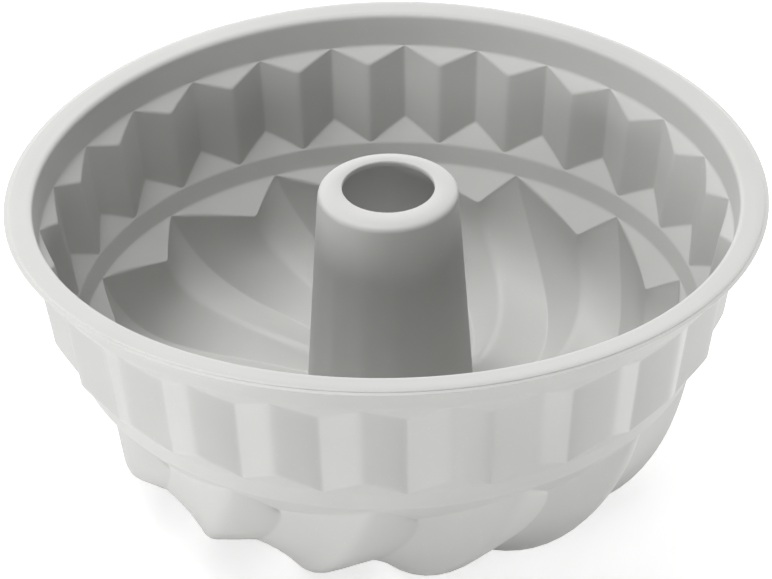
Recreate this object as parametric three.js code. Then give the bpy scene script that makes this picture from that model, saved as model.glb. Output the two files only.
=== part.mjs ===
// Silicone fluted tube pan: a ring-cake mould with a flat rim, a band of straight
// V flutes, a plain waist and a ring of twisted lobes that swirl in to a vented
// centre tube. The real pan is one flexible moulding. Each zone of it is a mesh of
// its own, and neighbours meet face to face: on level planes, and on an upright ring at
// the trough.
// Millimetres, +Z up, standing on the lobes with the axis on Z.
import * as THREE from 'three';

// Rim and wall
const RIM_RADIUS = 120; // outer edge of the flange
const RIM_WIDTH = 8.7; // flange, from its outer edge to the cake side
const RIM_THICKNESS = 2.2;
const RIM_EDGE = 1; // rounding of the flange's outer edges
const RIM_INNER_EDGE = 2; // rounding from the flange to the cake side
const WALL = 1.5; // wall of the whole moulding
const WALL_DRAFT = 5.75; // degrees, collar and flute valleys
const COLLAR_HEIGHT = 9.75; // plain band under the flange

// Straight flutes
const FLUTE_COUNT = 26;
const FLUTE_HEIGHT = 34.65; // collar to waist
const FLUTE_DEPTH = 3.6; // ridge line inside the wall line, at the collar
const FLUTE_TURN = -2.83; // degrees, place of one inward ridge, from the back
const FLUTE_EDGE = 2; // flat that breaks each ridge and valley
const SHOULDER_SLOPE = 51.9; // degrees, facets from the collar down to the ridges
const SILL_SLOPE = 55.4; // degrees, facets from the valleys down to the waist

// Waist
const WAIST_STEP = 4.6; // waist inside the wall line, at the flutes' lower end
const WAIST_HEIGHT = 6.6;
const WAIST_DRAFT = 16; // degrees

// Twisted lobes: each has a long face, a crest and a short face
const LOBE_COUNT = 14;
const LOBE_HEIGHT = 47.7; // waist to the lowest line of the cake side
const LOBE_TURN = 2.31; // degrees, place of one valley at the waist, from the back
const LOBE_EDGE = 2.4; // flat that breaks each crest and valley
const LOBE_DRAFT = 7.4; // degrees, lobes at the waist
const LEDGE_DEPTH = 7.65; // how far the crests stand in from the waist
const LEDGE_SLOPE = 52; // degrees, facets from the waist down to the crests
const CREST_SHARE = 0.735; // place of a crest between two valleys, at the ledge
const CREST_SHARE_LOW = 0.282; // the same at the trough
const CREST_RISE = 3.7; // crests above valleys at the trough
const LONG_FACE_BOW = 2.5; // bow of the long face, where 1 is straight
const TROUGH_RADIUS = 54; // lowest line of the cake side
const SWIRL_TWIST = 31.2; // degrees that a valley turns from waist to trough
const FOOT_TWIST = 8; // degrees more from trough to tube
const VALLEY_SIDE_PULL = 36.2; // how far a valley keeps to the side before it rounds
const VALLEY_FLOOR_PULL = 30.8; // how far a valley keeps to the floor
const CREST_SIDE_PULL = 5.2;
const CREST_FLOOR_PULL = 40;
const FLOOR_HEIGHT = 18; // floor zone, above the lowest line of the cake side
const BASE_LAND = 0.8; // taken off the lobes' undersides so that the pan stands flat

// Centre tube
const TUBE_DROP = 2.9; // tube top below the rim
const TUBE_TOP_RADIUS = 22.5; // cake side, before its edge is rounded
const TUBE_DRAFT = 4; // degrees
const TUBE_EDGE = 1.5; // rounding of the tube's top edge
const TUBE_TOP_FALL = 1.5; // top plate, from the vent to its outer edge
const TUBE_CROWN = 7; // closed end of the tube, with its top plate
const TUBE_PLATE = 2; // thickness of the top plate
const VENT_RADIUS = 14.9; // hole in the top plate
const FOOT_HEIGHT = 14; // tube foot above the lowest line of the cake side
const FOOT_PULL = 13; // roundness of the trough beside the tube

// Facets
const RING_SEGMENTS = 4 * FLUTE_COUNT;
const TUBE_SEGMENTS = 4 * LOBE_COUNT;
const EDGE_SEGMENTS = 2; // per rounded edge
const LONG_FACE_STEPS = 4; // columns across a long face
const LOBE_WALL_STEPS = 5; // rows from ledge to floor zone
const LOBE_FLOOR_STEPS = 5; // rows from there to the trough
const FOOT_STEPS = 4; // rows from trough to tube
const HALVINGS = 40; // of the search for the row where two zones meet

const SILICONE = 0xdcdcda;
const SILICONE_ROUGHNESS = 0.55;

// Heights of the planes where the zones meet, from the rim's top at 0
const FLANGE_Z = -RIM_THICKNESS;
const FLUTE_TOP_Z = FLANGE_Z - COLLAR_HEIGHT;
const WAIST_TOP_Z = FLUTE_TOP_Z - FLUTE_HEIGHT;
const LOBE_TOP_Z = WAIST_TOP_Z - WAIST_HEIGHT;
const TROUGH_Z = LOBE_TOP_Z - LOBE_HEIGHT;
const FLOOR_Z = TROUGH_Z + FLOOR_HEIGHT;
const FOOT_Z = TROUGH_Z + FOOT_HEIGHT;
const BASE_Z = TROUGH_Z - WALL + BASE_LAND;
const CROWN_Z = -TUBE_DROP - TUBE_CROWN;

const radians = THREE.MathUtils.degToRad;
const lerp = THREE.MathUtils.lerp;
const tan = (degrees) => Math.tan(radians(degrees));

// Radii of the cake side, as functions of height
const wallRadius = (z) => RIM_RADIUS - RIM_WIDTH + z * tan(WALL_DRAFT);
const waistTopRadius = wallRadius(WAIST_TOP_Z) - WAIST_STEP;
const waistRadius = (z) => waistTopRadius + (z - WAIST_TOP_Z) * tan(WAIST_DRAFT);
const tubeRadius = (z) => TUBE_TOP_RADIUS - (z + TUBE_DROP) * tan(TUBE_DRAFT);

function addMesh(group, name, geometry) {
  const material = new THREE.MeshStandardMaterial({
    color: SILICONE,
    roughness: SILICONE_ROUGHNESS,
    metalness: 0,
  });
  const mesh = new THREE.Mesh(geometry, material);
  mesh.name = name;
  group.add(mesh);
}

// A closed outline in radius and height, turned about the axis
function turned(outline, segments) {
  const geometry = new THREE.LatheGeometry([...outline, outline[0]], segments);
  return geometry.rotateX(Math.PI / 2);
}

// A plain band between two heights, one wall thick from its near to its far side
function band(radiusAt, topZ, bottomZ, segments) {
  return turned([
    new THREE.Vector2(radiusAt(bottomZ), bottomZ),
    new THREE.Vector2(radiusAt(bottomZ) + WALL, bottomZ),
    new THREE.Vector2(radiusAt(topZ) + WALL, topZ),
    new THREE.Vector2(radiusAt(topZ), topZ),
  ], segments);
}

// Points of a rounded corner, from one angle to another in degrees
function roundedCorner(x, y, radius, from, to) {
  const arc = new THREE.EllipseCurve(x, y, radius, radius, radians(from), radians(to));
  return arc.getPoints(EDGE_SEGMENTS);
}

function rimFlange() {
  const edge = Math.min(RIM_EDGE, RIM_THICKNESS / 2);
  const inner = Math.min(RIM_INNER_EDGE, RIM_THICKNESS);
  return turned([
    new THREE.Vector2(wallRadius(FLANGE_Z), FLANGE_Z),
    ...roundedCorner(RIM_RADIUS - edge, FLANGE_Z + edge, edge, -90, 0),
    ...roundedCorner(RIM_RADIUS - edge, -edge, edge, 0, 90),
    ...roundedCorner(wallRadius(-inner) + inner, -inner, inner, 90, 180),
  ], RING_SEGMENTS);
}

function tubeCrown() {
  const topZ = -TUBE_DROP;
  const plateZ = topZ - TUBE_PLATE;
  const shoulderZ = plateZ - TUBE_TOP_FALL;
  const edgeZ = topZ - TUBE_TOP_FALL - TUBE_EDGE;
  return turned([
    new THREE.Vector2(VENT_RADIUS, plateZ),
    new THREE.Vector2(tubeRadius(shoulderZ) - WALL, shoulderZ),
    new THREE.Vector2(tubeRadius(CROWN_Z) - WALL, CROWN_Z),
    new THREE.Vector2(tubeRadius(CROWN_Z), CROWN_Z),
    ...roundedCorner(tubeRadius(edgeZ) - TUBE_EDGE, edgeZ, TUBE_EDGE, 0, 90),
    new THREE.Vector2(VENT_RADIUS, topZ),
  ], TUBE_SEGMENTS);
}

// Loops of points, one after another round the axis, joined into a closed ring.
// A point has a radius, an angle in degrees from the back towards +X, and a height.
function loft(loops) {
  const vertices = [];
  const triangles = [];
  const size = loops[0].length;
  loops.forEach((loop, column) => {
    const next = (column + 1) % loops.length;
    loop.forEach(([radius, angle, z], row) => {
      const below = (row + 1) % size;
      const [a, b] = [column * size + row, column * size + below];
      const [c, d] = [next * size + row, next * size + below];
      vertices.push(radius * Math.sin(radians(angle)), radius * Math.cos(radians(angle)), z);
      triangles.push(a, b, c, b, d, c);
    });
  });
  const geometry = new THREE.BufferGeometry();
  geometry.setAttribute('position', new THREE.Float32BufferAttribute(vertices, 3));
  geometry.setIndex(triangles);
  geometry.computeVertexNormals();
  return geometry;
}

// How far a sloping facet falls from one line before it meets another, level with it
// at a gap and leaning by a draft given as a tangent
const facetFall = (gap, slope, lean) => gap / (1 / tan(slope) - lean);

// One flute column: share is 0 in a valley and 1 on a ridge
function fluteLoop(share, angle) {
  const collar = wallRadius(FLUTE_TOP_Z);
  const ridgeLean = (collar - FLUTE_DEPTH - waistTopRadius) / FLUTE_HEIGHT;
  const shoulder = facetFall(FLUTE_DEPTH, SHOULDER_SLOPE, ridgeLean) * share;
  const sill = facetFall(WAIST_STEP, SILL_SLOPE, tan(WALL_DRAFT)) * (1 - share);
  const inside = [
    [collar, angle, FLUTE_TOP_Z],
    [collar - shoulder / tan(SHOULDER_SLOPE), angle, FLUTE_TOP_Z - shoulder],
    [waistTopRadius + sill / tan(SILL_SLOPE), angle, WAIST_TOP_Z + sill],
    [waistTopRadius, angle, WAIST_TOP_Z],
  ];
  const outside = inside.map(([radius, a, z]) => [radius + WALL, a, z]);
  return [...inside, ...outside.reverse()];
}

function fluteBand() {
  const half = 180 / FLUTE_COUNT;
  const flat = THREE.MathUtils.radToDeg(FLUTE_EDGE / 2 / waistTopRadius);
  const loops = [];
  for (let flute = 0; flute < FLUTE_COUNT; flute += 1) {
    const ridge = FLUTE_TURN + 2 * half * flute;
    loops.push(fluteLoop(0, ridge - half + flat));
    loops.push(fluteLoop(1, ridge - flat));
    loops.push(fluteLoop(1, ridge + flat));
    loops.push(fluteLoop(0, ridge + half - flat));
  }
  return loft(loops);
}

// The line of a valley or crest in radius and height: side falls from the waist to the
// trough, and foot rounds up from there to the tube
function lobeLine(start, troughZ, sidePull, floorPull) {
  const draft = radians(LOBE_DRAFT);
  const aim = new THREE.Vector2(-Math.sin(draft), -Math.cos(draft));
  const trough = new THREE.Vector2(TROUGH_RADIUS, troughZ);
  const halfFootZ = (troughZ + FOOT_Z) / 2;
  const side = new THREE.CubicBezierCurve(
    start,
    start.clone().addScaledVector(aim, sidePull),
    new THREE.Vector2(TROUGH_RADIUS + floorPull, troughZ),
    trough,
  );
  const foot = new THREE.CubicBezierCurve(
    trough,
    new THREE.Vector2(TROUGH_RADIUS - FOOT_PULL, troughZ),
    new THREE.Vector2(tubeRadius(halfFootZ), halfFootZ),
    new THREE.Vector2(tubeRadius(FOOT_Z), FOOT_Z),
  );
  return { side, foot };
}

// Where a curve that falls all the way passes a height
function crossing(curve, z) {
  let [above, below] = [0, 1];
  for (let halving = 0; halving < HALVINGS; halving += 1) {
    const middle = (above + below) / 2;
    if (curve.getPoint(middle).y > z) above = middle;
    else below = middle;
  }
  return below;
}

// A row of a lobe line: the cake side, and the outside one wall away. A level row keeps
// both at one height, because two zones meet there.
function lobeRow(curve, t, angle, levelOffset) {
  const inside = curve.getPoint(t);
  const along = curve.getTangent(t);
  const offset = new THREE.Vector2(-along.y, along.x).multiplyScalar(WALL);
  if (levelOffset) offset.set(levelOffset, 0);
  const outside = inside.clone().add(offset);
  outside.y = Math.max(outside.y, BASE_Z);
  return { angle, inside, outside };
}

// All rows of a lobe line, in three lists that share the rows where their zones meet: the
// wall, the floor down to the trough, and the rise from there to the tube
function lobeRows({ side, foot }, angleAt) {
  const split = crossing(side, FLOOR_Z);
  const splitRow = lobeRow(side, split, angleAt(split), -WALL / side.getTangent(split).y);
  splitRow.inside.y = FLOOR_Z;
  splitRow.outside.y = FLOOR_Z;
  const wall = [lobeRow(side, 0, angleAt(0), WALL)];
  for (let step = 1; step < LOBE_WALL_STEPS; step += 1) {
    const t = split * step / LOBE_WALL_STEPS;
    wall.push(lobeRow(side, t, angleAt(t)));
  }
  wall.push(splitRow);
  const floor = [splitRow];
  for (let step = 1; step <= LOBE_FLOOR_STEPS; step += 1) {
    const t = lerp(split, 1, step / LOBE_FLOOR_STEPS);
    floor.push(lobeRow(side, t, angleAt(t)));
  }
  const rise = [];
  for (let step = 0; step <= FOOT_STEPS; step += 1) {
    const t = step / FOOT_STEPS;
    const angle = angleAt(1) + FOOT_TWIST * t * (2 - t);
    rise.push(lobeRow(foot, t, angle, step === FOOT_STEPS ? -WALL : 0));
  }
  return { wall, floor, rise };
}

// Angles in degrees from a valley's place at the waist, down to the trough at t = 1
const LOBE_PITCH = 360 / LOBE_COUNT;
const valleyAngle = (t) => SWIRL_TWIST * t * (2 + t) / 3;
const crestShare = (t) => lerp(CREST_SHARE, CREST_SHARE_LOW, t * (2 - t));
const crestAngle = (t) => valleyAngle(t) + LOBE_PITCH * crestShare(t);

const lobeTop = new THREE.Vector2(waistRadius(LOBE_TOP_Z), LOBE_TOP_Z);
const ledgeTip = new THREE.Vector2(
  lobeTop.x - LEDGE_DEPTH,
  LOBE_TOP_Z - LEDGE_DEPTH * tan(LEDGE_SLOPE),
);
const valleyRows = lobeRows(
  lobeLine(lobeTop, TROUGH_Z, VALLEY_SIDE_PULL, VALLEY_FLOOR_PULL), valleyAngle);
const crestRows = lobeRows(
  lobeLine(ledgeTip, TROUGH_Z + CREST_RISE, CREST_SIDE_PULL, CREST_FLOOR_PULL), crestAngle);

// The columns of all lobes. share is 0 in a valley and 1 on a crest; around is the same
// for the angle; turn is the place of the valley that the column is measured from.
function lobeColumns() {
  const longEdge = LOBE_EDGE / 2 / (lobeTop.x * radians(LOBE_PITCH * CREST_SHARE));
  const shortEdge = LOBE_EDGE / 2 / (lobeTop.x * radians(LOBE_PITCH * (1 - CREST_SHARE)));
  const columns = [];
  for (let lobe = 0; lobe < LOBE_COUNT; lobe += 1) {
    const turn = LOBE_TURN + LOBE_PITCH * lobe;
    for (let step = 0; step <= LONG_FACE_STEPS; step += 1) {
      const across = step / LONG_FACE_STEPS;
      const share = 1 - (1 - across) ** LONG_FACE_BOW;
      const around = lerp(longEdge, 1 - longEdge, across);
      columns.push({ share, around, turn, valleyTurn: 0 });
    }
    for (const share of [1, 0.5, 0]) {
      const around = lerp(shortEdge, 1 - shortEdge, share);
      columns.push({ share, around, turn, valleyTurn: LOBE_PITCH });
    }
  }
  return columns;
}

// One column through the rows of a zone, a blend of the valley and the crest lines
function lobeLoop({ share, around, turn, valleyTurn }, valley, crest) {
  const blend = (row, side) => {
    const angle = lerp(valley[row].angle + valleyTurn, crest[row].angle, around) + turn;
    const point = valley[row][side].clone().lerp(crest[row][side], share);
    return [point.x, angle, point.y];
  };
  const rows = [...valley.keys()];
  return [
    ...rows.map((row) => blend(row, 'inside')),
    ...rows.reverse().map((row) => blend(row, 'outside')),
  ];
}

function lobeWall() {
  return loft(lobeColumns().map((column) => {
    const loop = lobeLoop(column, valleyRows.wall, crestRows.wall);
    const angle = loop[0][1];
    const waist = [lobeTop.x, angle, LOBE_TOP_Z];
    return [waist, ...loop, [lobeTop.x + WALL, angle, LOBE_TOP_Z]];
  }));
}

function lobeFloor() {
  return loft(lobeColumns().map(
    (column) => lobeLoop(column, valleyRows.floor, crestRows.floor)));
}

function tubeFoot() {
  return loft(lobeColumns().map(
    (column) => lobeLoop(column, valleyRows.rise, crestRows.rise)));
}

const pan = new THREE.Group();
addMesh(pan, 'rim_flange', rimFlange());
addMesh(pan, 'rim_collar', band(wallRadius, FLANGE_Z, FLUTE_TOP_Z, RING_SEGMENTS));
addMesh(pan, 'flute_band', fluteBand());
addMesh(pan, 'waist_ring', band(waistRadius, WAIST_TOP_Z, LOBE_TOP_Z, RING_SEGMENTS));
addMesh(pan, 'lobe_wall', lobeWall());
addMesh(pan, 'lobe_floor', lobeFloor());
addMesh(pan, 'tube_foot', tubeFoot());
addMesh(pan, 'centre_tube', band((z) => tubeRadius(z) - WALL, CROWN_Z, FOOT_Z, TUBE_SEGMENTS));
addMesh(pan, 'tube_crown', tubeCrown());
pan.position.z = -BASE_Z;

export default pan;
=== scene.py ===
"""Looks for a silicone fluted tube pan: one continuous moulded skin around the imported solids.

The skin has the zones of the CAD part, with rounded edges, a parting line on the rim and the slight saddle
bend that the flexible pan takes when it stands free. Profiles are in millimetres from the rim's top, and
angles in degrees from the back, +Y, towards +X.
"""

import math

import bpy
import numpy as np
from mathutils import Matrix, Vector

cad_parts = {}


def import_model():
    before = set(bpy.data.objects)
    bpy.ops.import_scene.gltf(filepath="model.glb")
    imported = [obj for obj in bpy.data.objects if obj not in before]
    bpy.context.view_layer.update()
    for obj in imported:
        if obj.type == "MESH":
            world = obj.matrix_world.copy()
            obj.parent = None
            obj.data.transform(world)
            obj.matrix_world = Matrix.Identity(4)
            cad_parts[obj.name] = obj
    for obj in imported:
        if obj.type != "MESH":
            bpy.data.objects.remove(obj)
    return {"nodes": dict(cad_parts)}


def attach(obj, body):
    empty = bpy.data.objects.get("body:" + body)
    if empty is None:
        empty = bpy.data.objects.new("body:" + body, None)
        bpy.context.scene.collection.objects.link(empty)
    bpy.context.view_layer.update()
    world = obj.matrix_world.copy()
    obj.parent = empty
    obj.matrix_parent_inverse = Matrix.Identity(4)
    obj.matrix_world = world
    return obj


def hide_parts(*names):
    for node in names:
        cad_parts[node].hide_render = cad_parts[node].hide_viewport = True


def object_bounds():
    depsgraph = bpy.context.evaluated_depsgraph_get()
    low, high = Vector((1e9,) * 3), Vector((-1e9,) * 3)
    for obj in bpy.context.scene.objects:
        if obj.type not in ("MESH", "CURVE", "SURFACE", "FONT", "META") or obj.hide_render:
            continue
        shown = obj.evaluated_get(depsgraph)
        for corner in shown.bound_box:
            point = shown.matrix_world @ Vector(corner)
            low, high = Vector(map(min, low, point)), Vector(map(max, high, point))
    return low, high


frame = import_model()
cad_low, cad_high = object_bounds()

MM = 0.001
SAME_HEIGHT_M = 1e-5
RIM_TOP_M = cad_high.z

# Columns round the pan: a whole number for each flute and for each lobe
FLUTE_COUNT = 26
LOBE_COUNT = 14
FLUTE_COLUMNS = 21
LOBE_COLUMNS = 39
COLUMNS = FLUTE_COUNT * FLUTE_COLUMNS
assert COLUMNS == LOBE_COUNT * LOBE_COLUMNS

# Flutes
FLUTE_TURN = -2.83  # place of one inward ridge
FLUTE_DEPTH = 3.6  # ridge line inside the wall line, at the collar
FLUTE_DEPTH_OUT = 4.6  # the same on the outside, where the wall is thinner behind a ridge
SHOULDER_SLOPE = 51.9
SILL_SLOPE = 55.4

# Twisted lobes: a valley line and a crest line each, from the ledges to the foot of the tube
LOBE_TURN = 2.31
LOBE_DRAFT = 7.4
LEDGE_DEPTH = 7.65
LEDGE_SLOPE = 52
LOBE_HEIGHT = 47.7
CREST_SHARE = 0.735  # place of the crest between two valleys, at the ledge,
CREST_SHARE_LOW = 0.282  # at the trough,
CREST_SHARE_LOW_OUT = 0.43  # and at the trough on the outside,
CREST_EASE_OUT = 4  # which it nears faster with a higher power
CREST_RISE = 7.5  # crest over valley at the trough
LEDGE_BOW = 1.1  # bow of the long face at the ledge, where 1 is straight,
TROUGH_BOW = 0.85  # at the trough,
OUTSIDE_BOW = 1.8  # and on the outside
TROUGH_RADIUS = 54
SWIRL_TWIST = 31.2  # turn of a lobe from its ledge to the trough,
FOOT_TWIST = 8  # and from there to the tube
VALLEY_SIDE_PULL = 36.2  # lengths of the handles of the curves down the side and along the floor
VALLEY_FLOOR_PULL = 30.8
CREST_SIDE_PULL = 5.2
CREST_FLOOR_PULL = 40
FOOT_PULL = 13
FLOOR_HEIGHT = 18  # over the trough, where the rows for the floor start
BASE_LAND = 0.8  # cut off the lowest ridges of the solids to form their flats

# Wall: the silhouette shows a thicker wall than the CAD solids have
WALL_EXTRA = 1.0
LOBE_WALL_EXTRA = 0.7
BASE_ROUNDING = 0.92  # lost at the lowest points to the rounding of the lobes' ridges
OUTSIDE_SHIFT = -0.4  # the outer face lies a little to the left of the cake side

# Tube
TUBE_PLATE = 2.0
TUBE_TOP_FALL = 1.5  # top plate, from the vent to its outer edge
TUBE_SHIFT = 0.42  # the tube stands a little to the right,
CROWN_SHIFT = 0.5  # and its top a little more
CROWN_NOD = 0.3  # the crown's front edge is lower, and its back edge higher
CROWN_LEAN_REACH = 20

# Edges: how far each rounding reaches from its line
RIM_EDGE_IN = 2.0
FACET_EDGE = 0.7  # shoulder, sill and ledge lines, cake side
FACET_EDGE_OUT = 0.9
WAIST_EDGE = 1.6
FLUTE_RIDGE_EDGE = 1.4
FLUTE_RIDGE_EDGE_OUT = 1.8
CREASE_EDGE = 0.4
CREST_EDGE = 1.2  # at the ledges
CREST_EDGE_LOW = 2.4  # at the trough
LOBE_RIDGE_EDGE_OUT = 3.0
TUBE_EDGE = 1.5
VENT_EDGE = 0.3

# Rim: a flange that falls a little towards the cake, with a thin parting lip under its bevelled edge
RIM_DISH = 0.6
RIM_LIFT = 0.5  # the flange's outer edge, higher at the back right and lower at the front left
RIM_LIFT_TURN = 40
RIM_SPREAD = 0.3  # the flange's outer edge, outside the CAD rim
RIM_TILT = 0.35  # the whole flange, higher at the back and lower at the front
RIM_BACK = 0.4  # the flange's outer edge, drawn towards the back
BEVEL_RUN = 0.7  # the flange's outer edge, above the lip
BEVEL_FALL = 0.3
BEVEL_EDGE = 0.3
LIP_Z = -0.65
LIP_WIDTH = 1.2
LIP_HEIGHT = 0.35
LIP_EDGE = 0.12
GROOVE_DEPTH = 0.05  # parting line, cut in under the flange's edge

# Rows along the lobes, columns across them, and points round each rounded corner
WAIST_ROWS = 4
WAIST_MARGIN = 0.3  # share of the waist that each edge of it takes
WALL_ROWS = 11
FLOOR_ROWS = 11
FOOT_ROWS = 7
FLUTE_CROWDING = 0.75  # how much columns crowd towards the edges of a facet
LOBE_CROWDING = 0.8
LONG_FACE_SHARE = 0.6  # of a lobe's columns
CORNER_POINTS = 3
SMALL_EDGE = 0.35  # a smaller rounding is a plain chamfer
SUPPORT_REACH = 1.5  # outer rows of a corner, in lengths of its rounding
CORNER_ROOM = 2.2  # a side is shared by the corners at its two ends, with some space between them
EDGE_CAP = 0.45  # largest share of a face that one rounding takes
BISECTIONS = 40
TINY = 1e-9

# Saddle bend of the free-standing pan: front and back of the rim rise and draw in
BEND_RISE = 1.9
BEND_PULL = 1.3
BEND_TURN = 5.2
BEND_REACH = 55  # depth below the rim at which it fades out


def tan(degrees):
    return math.tan(math.radians(degrees))


def lerp(a, b, share):
    return a + (b - a) * share


def level_ring(node, top):
    """Cake-side radius, outside radius and height of a node's upper or lower end, from the CAD mesh."""
    points = np.array([v.co for v in frame["nodes"][node].data.vertices])
    height = points[:, 2].max() if top else points[:, 2].min()
    near = abs(points[:, 2] - height) < SAME_HEIGHT_M
    radii = np.hypot(points[near, 0], points[near, 1]) / MM
    return radii.min(), radii.max(), (height - RIM_TOP_M) / MM


COLLAR_TOP_IN, _, FLANGE_Z = level_ring("rim_collar", True)
COLLAR_IN, COLLAR_OUT, FLUTE_TOP_Z = level_ring("rim_collar", False)
WAIST_IN, _, WAIST_TOP_Z = level_ring("waist_ring", True)
LOBE_TOP_IN, LOBE_TOP_OUT, LOBE_TOP_Z = level_ring("waist_ring", False)
_, TUBE_FOOT_OUT, FOOT_Z = level_ring("centre_tube", False)
_, CROWN_OUT, CROWN_Z = level_ring("tube_crown", False)
VENT_RADIUS, _, TUBE_TOP_Z = level_ring("tube_crown", True)
RIM_RADIUS = cad_high.x / MM
WALL = COLLAR_OUT - COLLAR_IN
OUTER_WALL = WALL + WALL_EXTRA
LOBE_WALL = WALL + LOBE_WALL_EXTRA
TROUGH_Z = LOBE_TOP_Z - LOBE_HEIGHT
FLOOR_Z = TROUGH_Z + FLOOR_HEIGHT
BASE_Z = TROUGH_Z - WALL + BASE_LAND - BASE_ROUNDING
TUBE_LEAN = (CROWN_OUT - TUBE_FOOT_OUT) / (CROWN_Z - FOOT_Z)
WALL_LEAN = (COLLAR_TOP_IN - COLLAR_IN) / (FLANGE_Z - FLUTE_TOP_Z)


def wall_radius(z):
    return COLLAR_IN + (z - FLUTE_TOP_Z) * WALL_LEAN


def tube_radius(z):
    return CROWN_OUT + (z - CROWN_Z) * TUBE_LEAN


# Rounded lines and crowded columns
def corner_blend(t, start, corner, end):
    return (1 - t) ** 2 * start + 2 * t * (1 - t) * corner + t * t * end


def rounded(corners, edges):
    """Rows along a line through corners, an array of (corner, column, radius or height), with each inner
    corner rounded by its edge where its two sides have room. Both ends stay."""
    corners = np.array(corners, float)
    rows = [corners[0]]
    for index, edge in enumerate(edges, start=1):
        here = corners[index]
        before, after = corners[index - 1] - here, corners[index + 1] - here
        long_before = np.linalg.norm(before, axis=-1, keepdims=True) + TINY
        long_after = np.linalg.norm(after, axis=-1, keepdims=True) + TINY
        reach = np.minimum(edge, np.minimum(long_before, long_after) / (CORNER_ROOM * SUPPORT_REACH))
        start, end = here + before / long_before * reach, here + after / long_after * reach
        if edge < SMALL_EDGE:
            rows += [start, end]
            continue
        rows.append(here + before / long_before * reach * SUPPORT_REACH)
        rows += [corner_blend(step / CORNER_POINTS, start, here, end) for step in range(CORNER_POINTS + 1)]
        rows.append(here + after / long_after * reach * SUPPORT_REACH)
    rows.append(corners[-1])
    return rows


def constant(radius, z):
    """The same point of a profile in every column."""
    return np.tile([radius, z], (COLUMNS, 1))


def profile(radius, z):
    """A point of a profile with its own radius and height in each column."""
    return np.stack(np.broadcast_arrays(np.zeros(COLUMNS) + radius, np.zeros(COLUMNS) + z), axis=-1)


def soft_tent(across, near_edge, far_edge):
    """1 at across 0 and 0 at across 1 on a straight slope, rounded over an edge at each end."""
    tent = 1 - across
    near = across < near_edge
    tent = np.where(near, 1 - (across**2 + near_edge**2) / (2 * near_edge), tent)
    rest = 1 - across
    return np.where(rest < far_edge, (rest**2 + far_edge**2) / (2 * far_edge), tent)


def crowded(count, crowding):
    """count + 1 places from 0 to 1 that crowd towards both ends."""
    even = np.arange(count + 1) / count
    return lerp(even, (1 - np.cos(np.pi * even)) / 2, crowding)


# Flutes, the rim and the upper half of the waist
def flute_places():
    """Angle of each column, and its place from an inward ridge, 0, to a valley, 1."""
    half = 180 / FLUTE_COUNT
    falling = FLUTE_COLUMNS // 2
    rising = FLUTE_COLUMNS - falling
    down = crowded(falling, FLUTE_CROWDING)[:-1]
    up = 1 - crowded(rising, FLUTE_CROWDING)[:-1]
    angle = np.concatenate([half * down, half * (2 - up)])
    across = np.concatenate([down, up])
    turns = FLUTE_TURN + 2 * half * np.arange(FLUTE_COUNT)
    return (turns[:, None] + angle).ravel(), np.tile(across, FLUTE_COUNT)


def matched(angles, places, goal):
    """Columns renumbered round the ring so that each lies near the angle of the same number in goal."""
    shift = round(np.mean(angles - goal) / 360 * COLUMNS)
    whole_turn = np.zeros(COLUMNS)
    whole_turn[shift:] = 360
    return np.roll(angles, shift) + whole_turn, np.roll(places, shift)


def facet_fall(gap, slope, lean):
    return gap / (1 / tan(slope) - lean)


def flute_line(share, depth):
    """Corners of the cake side from the collar to the waist; share is 0 in a valley and 1 on a ridge."""
    ridge_lean = (COLLAR_IN - depth - WAIST_IN) / (FLUTE_TOP_Z - WAIST_TOP_Z)
    step = wall_radius(WAIST_TOP_Z) - WAIST_IN
    shoulder = facet_fall(depth, SHOULDER_SLOPE, ridge_lean) * share
    sill = facet_fall(step, SILL_SLOPE, WALL_LEAN) * (1 - share)
    return [
        constant(COLLAR_IN, FLUTE_TOP_Z),
        profile(COLLAR_IN - shoulder / tan(SHOULDER_SLOPE), FLUTE_TOP_Z - shoulder),
        profile(WAIST_IN + sill / tan(SILL_SLOPE), WAIST_TOP_Z + sill),
        constant(WAIST_IN, WAIST_TOP_Z),
    ]


def waist_point(share, wall=0):
    """A point on the waist, from its top, 0, to its lower end, 1."""
    return constant(lerp(WAIST_IN, LOBE_TOP_IN, share) + wall, lerp(WAIST_TOP_Z, LOBE_TOP_Z, share))


def upper_inside(across):
    half_width = math.pi * COLLAR_IN / FLUTE_COUNT
    share = soft_tent(across, FLUTE_RIDGE_EDGE / half_width, CREASE_EDGE / half_width)
    corners = [
        rim_middle(),
        constant(wall_radius(0), -RIM_DISH),
        *flute_line(share, FLUTE_DEPTH),
        waist_point(WAIST_MARGIN),
    ]
    return rounded(corners, [RIM_EDGE_IN, *[FACET_EDGE] * 3, WAIST_EDGE])


def upper_outside(across):
    half_width = math.pi * COLLAR_IN / FLUTE_COUNT
    share = soft_tent(across, CREASE_EDGE / half_width, FLUTE_RIDGE_EDGE_OUT / half_width)
    out = np.array([OUTER_WALL, 0])
    flutes = [corner + out for corner in reversed(flute_line(share, FLUTE_DEPTH_OUT))]
    corners = [
        waist_point(WAIST_MARGIN, OUTER_WALL),
        *flutes,
        constant(COLLAR_TOP_IN + OUTER_WALL, FLANGE_Z),
        constant(RIM_RADIUS, LIP_Z - LIP_HEIGHT),
        constant(RIM_RADIUS, LIP_Z),
        constant(RIM_RADIUS - LIP_WIDTH - GROOVE_DEPTH, LIP_Z),
        constant(RIM_RADIUS - LIP_WIDTH, -BEVEL_FALL),
        constant(RIM_RADIUS - LIP_WIDTH - BEVEL_RUN, 0),
        rim_middle(),
    ]
    edges = [*[FACET_EDGE_OUT] * 4, FACET_EDGE, LIP_EDGE, LIP_EDGE, LIP_EDGE / 2, BEVEL_EDGE, BEVEL_EDGE]
    return rounded(corners, edges)[:-1]


def rim_middle():
    """The middle of the flange's top, where the closed profile starts and ends."""
    return constant((wall_radius(0) + RIM_RADIUS) / 2, -RIM_DISH / 2)


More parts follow.
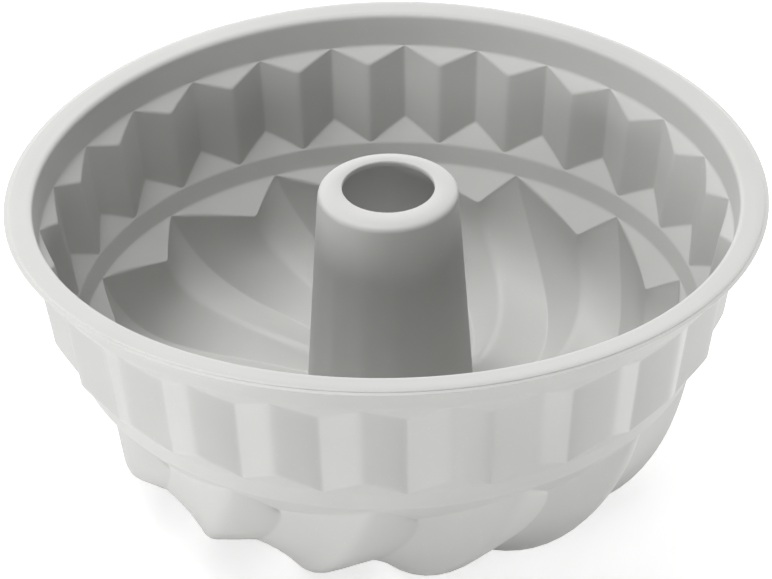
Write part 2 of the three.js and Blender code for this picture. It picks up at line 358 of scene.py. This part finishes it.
# Lobes, the lower half of the waist, and the tube
def bezier(points, t):
    """A point and the direction of a cubic curve."""
    a, b, c, d = (np.array(p, float) for p in points)
    s = 1 - t
    place = s**3 * a + 3 * s * s * t * b + 3 * s * t * t * c + t**3 * d
    along = s * s * (b - a) + 2 * s * t * (c - b) + t * t * (d - c)
    return place, along / np.linalg.norm(along)


def lobe_curves(start, trough_z, side_pull, floor_pull):
    """Control points of a valley or crest line: down the side to the trough, and up to the tube."""
    draft = math.radians(LOBE_DRAFT)
    aim = np.array([-math.sin(draft), -math.cos(draft)])
    trough = (TROUGH_RADIUS, trough_z)
    half_z = (trough_z + FOOT_Z) / 2
    side = (start, start + aim * side_pull, (TROUGH_RADIUS + floor_pull, trough_z), trough)
    foot = (
        trough,
        (TROUGH_RADIUS - FOOT_PULL, trough_z),
        (tube_radius(half_z), half_z),
        (tube_radius(FOOT_Z), FOOT_Z),
    )
    return side, foot


def crossing(curve, z):
    """Where a curve that falls all the way passes a height."""
    above, below = 0.0, 1.0
    for _ in range(BISECTIONS):
        middle = (above + below) / 2
        if bezier(curve, middle)[0][1] > z:
            above = middle
        else:
            below = middle
    return below


def valley_angle(t):
    return SWIRL_TWIST * t * (2 + t) / 3


def crest_angle(t):
    share = lerp(CREST_SHARE, CREST_SHARE_LOW, t * (2 - t))
    return valley_angle(t) + 360 / LOBE_COUNT * share


def outer_crest_angle(t):
    share = lerp(CREST_SHARE, CREST_SHARE_LOW_OUT, 1 - (1 - t) ** CREST_EASE_OUT)
    return valley_angle(t) + 360 / LOBE_COUNT * share


def lobe_line(start, trough_z, side_pull, floor_pull, angle_at):
    """Rows of a valley or crest line from the ledge to the tube: cake side, outside, angle, and depth,
    which is 0 at the ledge and 1 at the trough."""
    side, foot = lobe_curves(start, trough_z, side_pull, floor_pull)
    split = crossing(side, FLOOR_Z)
    places = [(side, t) for t in np.linspace(0, split, WALL_ROWS + 1)]
    places += [(side, t) for t in np.linspace(split, 1, FLOOR_ROWS + 1)[1:]]
    places += [(foot, t) for t in np.linspace(0, 1, FOOT_ROWS + 1)[1:]]
    rows = []
    for curve, t in places:
        inside, along = bezier(curve, t)
        wall = LOBE_WALL if curve is side else lerp(LOBE_WALL, WALL, t)
        outside = inside + wall * np.array([-along[1], along[0]])
        outside[1] = max(outside[1], BASE_Z)
        if curve is side:
            angle, depth = angle_at(t), t
        else:
            angle, depth = angle_at(1) + FOOT_TWIST * t * (2 - t), 1
        rows.append((inside, outside, angle, depth))
    return rows


def lobe_places():
    """Place of each column of one lobe: across its long face or its short face, 0 in a valley and 1 on a
    crest, and whether the face is the long one."""
    long_columns = round(LOBE_COLUMNS * LONG_FACE_SHARE)
    short_columns = LOBE_COLUMNS - long_columns
    up = crowded(long_columns, LOBE_CROWDING)[:-1]
    down = 1 - crowded(short_columns, LOBE_CROWDING)[:-1]
    across = np.concatenate([up, down])
    is_long = np.arange(LOBE_COLUMNS) < long_columns
    return across, is_long


def long_face(across, bow):
    return 1 - (1 - across) ** bow


def lobe_share(across, is_long, bow, long_width, short_width, crest_edge, valley_edge):
    """How far each column stands from the valley line, 0, to the crest line, 1, with both lines rounded."""
    share = np.where(is_long, long_face(across, bow), across)
    for edge, corner in ((crest_edge, 1), (valley_edge, 0)):
        long_edge = min(edge / long_width, EDGE_CAP)
        short_edge = min(edge / short_width, EDGE_CAP)
        if corner:
            away = 1 - across
            ends = long_face(1 - long_edge, bow), 1 - short_edge
        else:
            away = across
            ends = long_face(long_edge, bow), short_edge
        reach = np.where(is_long, long_edge, short_edge)
        t = np.where(is_long, 0.5 - away / reach / 2, 0.5 + away / reach / 2)
        share = np.where(away < reach, corner_blend(t, ends[0], corner, ends[1]), share)
    return share


def lower_rows(outside):
    """Rows from the middle of the waist down the lobes and up to the foot of the tube: profile points
    and angles."""
    across, is_long = lobe_places()
    pitch = 360 / LOBE_COUNT
    start = np.array([LOBE_TOP_IN, LOBE_TOP_Z])
    tip = start - LEDGE_DEPTH * np.array([1, tan(LEDGE_SLOPE)])
    valley = lobe_line(start, TROUGH_Z, VALLEY_SIDE_PULL, VALLEY_FLOOR_PULL, valley_angle)
    crest_turn = outer_crest_angle if outside else crest_angle
    crest = lobe_line(tip, TROUGH_Z + CREST_RISE, CREST_SIDE_PULL, CREST_FLOOR_PULL, crest_turn)
    turns = LOBE_TURN + pitch * np.arange(LOBE_COUNT)
    points, angles = [], []
    for low, high in zip(valley, crest):
        side = 1 if outside else 0
        long_width = math.radians(high[2] - low[2]) * low[0][0]
        short_width = math.radians(pitch - high[2] + low[2]) * low[0][0]
        if outside:
            crest_edge, valley_edge = CREASE_EDGE, LOBE_RIDGE_EDGE_OUT
        else:
            crest_edge, valley_edge = lerp(CREST_EDGE, CREST_EDGE_LOW, high[3]), CREASE_EDGE
        bow = OUTSIDE_BOW if outside else lerp(LEDGE_BOW, TROUGH_BOW, high[3])
        share = lobe_share(across, is_long, bow, long_width, short_width, crest_edge, valley_edge)
        place = low[side] + (high[side] - low[side]) * share[:, None]
        angle = np.where(is_long, low[2], low[2] + pitch) * (1 - across) + high[2] * across
        points.append(np.tile(place, (LOBE_COUNT, 1)))
        angles.append((turns[:, None] + angle).ravel())
    wall = OUTER_WALL if outside else 0
    edge = FACET_EDGE_OUT if outside else FACET_EDGE
    corners = [
        waist_point(1 - WAIST_MARGIN, wall),
        constant(LOBE_TOP_IN + wall, LOBE_TOP_Z),
        points[0],
        points[1],
    ]
    top = rounded(corners, [edge, edge])
    return top + points[2:], [angles[0]] * (len(top) - 1) + angles[1:]


def tube_rows():
    """Rows from the foot of the tube over its top, through the vent and down its inside."""
    plate_z = TUBE_TOP_Z - TUBE_PLATE
    edge_z = TUBE_TOP_Z - TUBE_TOP_FALL
    shoulder_z = plate_z - TUBE_TOP_FALL
    corners = [
        constant(tube_radius(FOOT_Z), FOOT_Z),
        constant(tube_radius(CROWN_Z), CROWN_Z),
        constant(tube_radius(edge_z), edge_z),
        constant(VENT_RADIUS, TUBE_TOP_Z),
        constant(VENT_RADIUS, plate_z),
        constant(tube_radius(shoulder_z) - WALL, shoulder_z),
        constant(tube_radius(FOOT_Z) - WALL, FOOT_Z),
    ]
    return rounded(corners, [FACET_EDGE, TUBE_EDGE, VENT_EDGE, VENT_EDGE, VENT_EDGE])[1:-1]


def on_flange(z):
    """True on the flange and the upper half of the collar."""
    return z > FLUTE_TOP_Z / 2


def flange_share(radius, z):
    """0 at the flange's inner edge and 1 at its outer edge, and 0 below it."""
    return np.clip((radius - wall_radius(0)) / (RIM_RADIUS - wall_radius(0)), 0, 1) * on_flange(z)


def bent(radius, angle, z):
    """The saddle bend of the free-standing pan, which leaves the tube as it is."""
    hold = np.sin(np.pi / 2 * np.clip(1 + z / BEND_REACH, 0, 1)) * (radius > TROUGH_RADIUS)
    wave = hold * np.cos(np.radians(2 * (angle - BEND_TURN)))
    flange = flange_share(radius, z)
    lift = RIM_LIFT * flange * np.cos(np.radians(angle - RIM_LIFT_TURN))
    tilt = RIM_TILT * np.cos(np.radians(angle)) * on_flange(z)
    return radius - BEND_PULL * wave + RIM_SPREAD * flange, z + BEND_RISE * wave + lift + tilt


def crown_share(radius, z):
    """1 at the tube's top, fading to 0 below it, and 0 away from the tube."""
    return np.clip(1 + (z - TUBE_TOP_Z) / CROWN_LEAN_REACH, 0, 1) * (radius < TROUGH_RADIUS)


def leaning(radius, z):
    """How far the tube stands to the right of the axis, by height."""
    foot = np.clip((TROUGH_RADIUS - radius) / (TROUGH_RADIUS - tube_radius(FOOT_Z)), 0, 1)
    return foot * (TUBE_SHIFT + CROWN_SHIFT * crown_share(radius, z))


def outer_share(radius, z, inside_rows):
    """0 on the cake side, the tube and the flange, and 1 on the outer face, by row and column."""
    below = np.clip((radius - TROUGH_RADIUS) / (LOBE_TOP_OUT - TROUGH_RADIUS), 0, 1)
    is_outside = np.arange(len(radius))[:, None] >= inside_rows
    return is_outside * below * (1 - flange_share(radius, z))


def skin_rows():
    """All rows of the closed skin: profile points and angles, from the rim down the cake side, over the
    tube, and up the outside."""
    lower_in, angles_in = lower_rows(outside=False)
    lower_out, angles_out = lower_rows(outside=True)
    flute_angle, flute_across = matched(*flute_places(), angles_in[0])
    upper_in = upper_inside(flute_across)
    upper_out = upper_outside(flute_across)
    waist_in, waist_angles = waist_rows(upper_in[-1], lower_in[0], flute_angle, angles_in[0])
    waist_out, _ = waist_rows(upper_out[0], lower_out[0], flute_angle, angles_out[0])
    tube = tube_rows()
    points = upper_in + waist_in + lower_in + tube
    points += lower_out[::-1] + waist_out[::-1] + upper_out
    angles = [flute_angle] * len(upper_in) + waist_angles + angles_in
    angles += [angles_in[-1]] * len(tube)
    angles += angles_out[::-1] + waist_angles[::-1] + [flute_angle] * len(upper_out)
    inside_rows = len(upper_in) + len(waist_in) + len(lower_in) + len(tube)
    return np.array(points), np.array(angles), inside_rows


def waist_rows(above, below, angle_above, angle_below):
    """Rows on the plain waist, between the columns of the flutes and the columns of the lobes."""
    shares = [step / WAIST_ROWS for step in range(1, WAIST_ROWS)]
    return [lerp(above, below, s) for s in shares], [lerp(angle_above, angle_below, s) for s in shares]


def pan_skin():
    points, angles, inside_rows = skin_rows()
    first_radius, first_z = points[..., 0], points[..., 1]
    radius, z = bent(first_radius, angles, first_z)
    turn = np.radians(angles)
    right = radius * np.sin(turn) + leaning(first_radius, first_z)
    right += OUTSIDE_SHIFT * outer_share(first_radius, first_z, inside_rows)
    away = radius * np.cos(turn) + RIM_BACK * flange_share(first_radius, first_z)
    z += CROWN_NOD * np.cos(turn) * radius / CROWN_OUT * crown_share(first_radius, first_z)
    places = np.stack([right, away, z], axis=-1) * MM
    places[..., 2] += RIM_TOP_M
    rows = len(points)
    index = np.arange(rows * COLUMNS).reshape(rows, COLUMNS)
    below, beside = np.roll(index, -1, axis=0), np.roll(index, -1, axis=1)
    across = np.roll(below, -1, axis=1)
    faces = np.stack([index, below, across, beside], axis=-1).reshape(-1, 4)
    mesh = bpy.data.meshes.new("pan_skin")
    mesh.from_pydata(places.reshape(-1, 3).tolist(), [], faces.tolist())
    mesh.polygons.foreach_set("use_smooth", [True] * len(mesh.polygons))
    mesh.validate()
    skin = bpy.data.objects.new("pan_skin", mesh)
    bpy.context.scene.collection.objects.link(skin)
    return skin


# Materials
SILICONE_DEEP = (0.446, 0.446, 0.436, 1)
SILICONE_PALE = (0.474, 0.474, 0.463, 1)
SPECK_COLOUR = (0.54, 0.54, 0.53, 1)
SPECK_LIFT = 0.6  # how far a speck moves the colour along its ramp


def node_material(name):
    material = bpy.data.materials.new(name)
    material.use_nodes = True
    material.node_tree.nodes.clear()
    return material, material.node_tree.nodes, material.node_tree.links


def silicone():
    """Satin light grey silicone: faint clouding, fine moulded grain and a few specks of dust."""
    material, nodes, links = node_material("silicone")
    out = nodes.new("ShaderNodeOutputMaterial")
    shader = nodes.new("ShaderNodeBsdfPrincipled")
    shader.inputs["Specular IOR Level"].default_value = 0.3
    links.new(shader.outputs["BSDF"], out.inputs["Surface"])
    place = nodes.new("ShaderNodeTexCoord")
    cloud = nodes.new("ShaderNodeTexNoise")
    cloud.inputs["Scale"].default_value = 22
    cloud.inputs["Detail"].default_value = 4
    links.new(place.outputs["Object"], cloud.inputs["Vector"])
    colour = nodes.new("ShaderNodeValToRGB")
    colour.color_ramp.elements[0].position = 0.3
    colour.color_ramp.elements[0].color = SILICONE_DEEP
    colour.color_ramp.elements[1].position = 0.7
    colour.color_ramp.elements[1].color = SILICONE_PALE
    colour.color_ramp.elements.new(1).color = SPECK_COLOUR
    speck = nodes.new("ShaderNodeTexVoronoi")
    speck.inputs["Scale"].default_value = 480
    links.new(place.outputs["Object"], speck.inputs["Vector"])
    dust = nodes.new("ShaderNodeMapRange")
    dust.inputs["From Min"].default_value = 0.05
    dust.inputs["From Max"].default_value = 0.1
    dust.inputs["To Min"].default_value = SPECK_LIFT
    dust.inputs["To Max"].default_value = 0
    links.new(speck.outputs["Distance"], dust.inputs["Value"])
    dusted = nodes.new("ShaderNodeMath")
    links.new(cloud.outputs["Fac"], dusted.inputs[0])
    links.new(dust.outputs["Result"], dusted.inputs[1])
    links.new(dusted.outputs["Value"], colour.inputs["Fac"])
    links.new(colour.outputs["Color"], shader.inputs["Base Color"])
    rough = nodes.new("ShaderNodeMapRange")
    rough.inputs["To Min"].default_value = 0.5
    rough.inputs["To Max"].default_value = 0.62
    links.new(cloud.outputs["Fac"], rough.inputs["Value"])
    links.new(rough.outputs["Result"], shader.inputs["Roughness"])
    grain = nodes.new("ShaderNodeTexNoise")
    grain.inputs["Scale"].default_value = 2200
    grain.inputs["Detail"].default_value = 2
    links.new(place.outputs["Object"], grain.inputs["Vector"])
    bump = nodes.new("ShaderNodeBump")
    bump.inputs["Strength"].default_value = 0.08
    bump.inputs["Distance"].default_value = 0.0002
    links.new(grain.outputs["Fac"], bump.inputs["Height"])
    links.new(bump.outputs["Normal"], shader.inputs["Normal"])
    return material


# Studio
FLOOR_HALF = 3.0
SHADOW_REACH = 0.4  # the floor shows the pan's shadow up to here,
WHITE_REACH = 1.4  # and is plain white from here on
SHADOW_GLOW = 0.58  # the floor's own light to the camera, where it shows the shadow
FLOOR_COLOUR = (0.9, 0.9, 0.9, 1)
TUBE_LAMP_POWER = 0.015
TUBE_LAMP_RADIUS = 0.012
WORLD_LIGHT = 0.05


def floor_material():
    """White floor that reads as white to the camera, and keeps the pan's shadow near the pan."""
    material, nodes, links = node_material("studio_floor")
    out = nodes.new("ShaderNodeOutputMaterial")
    diffuse = nodes.new("ShaderNodeBsdfDiffuse")
    diffuse.inputs["Color"].default_value = FLOOR_COLOUR
    glow = nodes.new("ShaderNodeEmission")
    path = nodes.new("ShaderNodeLightPath")
    place = nodes.new("ShaderNodeTexCoord")
    away = nodes.new("ShaderNodeVectorMath")
    away.operation = "LENGTH"
    links.new(place.outputs["Object"], away.inputs[0])
    fade = nodes.new("ShaderNodeMapRange")
    fade.inputs["From Min"].default_value = SHADOW_REACH
    fade.inputs["From Max"].default_value = WHITE_REACH
    fade.inputs["To Min"].default_value = SHADOW_GLOW
    fade.inputs["To Max"].default_value = 1.0
    links.new(away.outputs["Value"], fade.inputs["Value"])
    lift = nodes.new("ShaderNodeMath")
    lift.operation = "MULTIPLY"
    links.new(path.outputs["Is Camera Ray"], lift.inputs[0])
    links.new(fade.outputs["Result"], lift.inputs[1])
    links.new(lift.outputs["Value"], glow.inputs["Strength"])
    both = nodes.new("ShaderNodeAddShader")
    links.new(diffuse.outputs["BSDF"], both.inputs[0])
    links.new(glow.outputs["Emission"], both.inputs[1])
    links.new(both.outputs["Shader"], out.inputs["Surface"])
    return material


def studio_floor():
    mesh = bpy.data.meshes.new("studio_floor")
    half = FLOOR_HALF
    corners = [(-half, -half, 0), (half, -half, 0), (half, half, 0), (-half, half, 0)]
    mesh.from_pydata(corners, [], [(0, 1, 2, 3)])
    mesh.materials.append(floor_material())
    floor = bpy.data.objects.new("studio_floor", mesh)
    bpy.context.scene.collection.objects.link(floor)


def hidden_lamp(name, data, place):
    """A lamp that lights the pan and isn't seen itself."""
    lamp = bpy.data.objects.new(name, data)
    lamp.location = place
    lamp.visible_camera = False
    bpy.context.scene.collection.objects.link(lamp)
    return lamp


def softbox(name, azimuth, elevation, distance, size, power):
    """A rectangular lamp aimed at the pan; azimuth is in degrees from the back, +Y, towards +X."""
    data = bpy.data.lights.new(name, "AREA")
    data.shape = "RECTANGLE"
    data.size, data.size_y = size
    data.energy = power
    turn, rise = math.radians(azimuth), math.radians(elevation)
    away = Vector((math.sin(turn) * math.cos(rise), math.cos(turn) * math.cos(rise), math.sin(rise)))
    lamp = hidden_lamp(name, data, Vector((0, 0, RIM_TOP_M / 2)) + away * distance)
    lamp.rotation_euler = away.to_track_quat("Z", "Y").to_euler()


def tube_lamp():
    """A weak lamp inside the tube, for the light that comes up through it."""
    data = bpy.data.lights.new("tube_lamp", "POINT")
    data.energy = TUBE_LAMP_POWER
    data.shadow_soft_size = TUBE_LAMP_RADIUS
    hidden_lamp("tube_lamp", data, (0, 0, RIM_TOP_M / 3))


def studio_lamps():
    softbox("top", azimuth=0, elevation=89, distance=1.35, size=(0.43, 0.43), power=4.4)
    softbox("key", azimuth=270, elevation=74, distance=1.3, size=(0.48, 0.36), power=14.7)
    softbox("back", azimuth=0, elevation=18, distance=1.4, size=(1.6, 0.3), power=10.6)
    softbox("front_fill", azimuth=225, elevation=12, distance=1.3, size=(0.6, 0.2), power=5.0)
    softbox("left_fill", azimuth=270, elevation=10, distance=1.3, size=(0.6, 0.2), power=2.2)
    softbox("right_fill", azimuth=90, elevation=10, distance=1.3, size=(0.6, 0.2), power=3.6)
    softbox("front_strip", azimuth=225, elevation=0, distance=1.4, size=(2.4, 0.1), power=9.2)
    softbox("right_strip", azimuth=90, elevation=0, distance=1.4, size=(2.4, 0.1), power=17.5)
    tube_lamp()


def world():
    """Dim even light, and white where the camera looks past the floor."""
    made = bpy.data.worlds.new("studio")
    made.use_nodes = True
    nodes, links = made.node_tree.nodes, made.node_tree.links
    background = nodes["Background"]
    path = nodes.new("ShaderNodeLightPath")
    seen = nodes.new("ShaderNodeMath")
    seen.operation = "MAXIMUM"
    links.new(path.outputs["Is Camera Ray"], seen.inputs[0])
    links.new(path.outputs["Is Glossy Ray"], seen.inputs[1])
    strength = nodes.new("ShaderNodeMapRange")
    strength.inputs["To Min"].default_value = WORLD_LIGHT
    strength.inputs["To Max"].default_value = 1.0
    links.new(seen.outputs["Value"], strength.inputs["Value"])
    links.new(strength.outputs["Result"], background.inputs["Strength"])
    background.inputs["Color"].default_value = (1, 1, 1, 1)
    bpy.context.scene.world = made


def camera():
    """The photograph's view: a long lens from the front, above the rim."""
    image_width = 772
    focal_pixels = 2527.07
    distance = 0.80711
    elevation, pitch = math.radians(31.06), math.radians(2.52)
    yaw, roll = math.radians(-0.041), math.radians(-1.134)
    data = bpy.data.cameras.new("camera")
    data.sensor_width = 36
    data.lens = focal_pixels * data.sensor_width / image_width
    place = Vector((0, -math.cos(elevation), math.sin(elevation))) * distance + Vector((0, 0, RIM_TOP_M))
    tilt = elevation + pitch
    back = -Vector((math.sin(yaw) * math.cos(tilt), math.cos(yaw) * math.cos(tilt), -math.sin(tilt)))
    level = Vector((math.cos(yaw), -math.sin(yaw), 0))
    upright = back.cross(level)
    right = math.cos(roll) * level + math.sin(roll) * upright
    up = -math.sin(roll) * level + math.cos(roll) * upright
    made = bpy.data.objects.new("camera", data)
    made.matrix_world = Matrix((right, up, back)).transposed().to_4x4()
    made.location = place
    bpy.context.scene.collection.objects.link(made)
    bpy.context.scene.camera = made


skin = pan_skin()
skin.data.materials.append(silicone())
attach(skin, "root")
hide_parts(*frame["nodes"])

studio_floor()
studio_lamps()
world()
camera()
bpy.context.scene.view_settings.view_transform = "Standard"
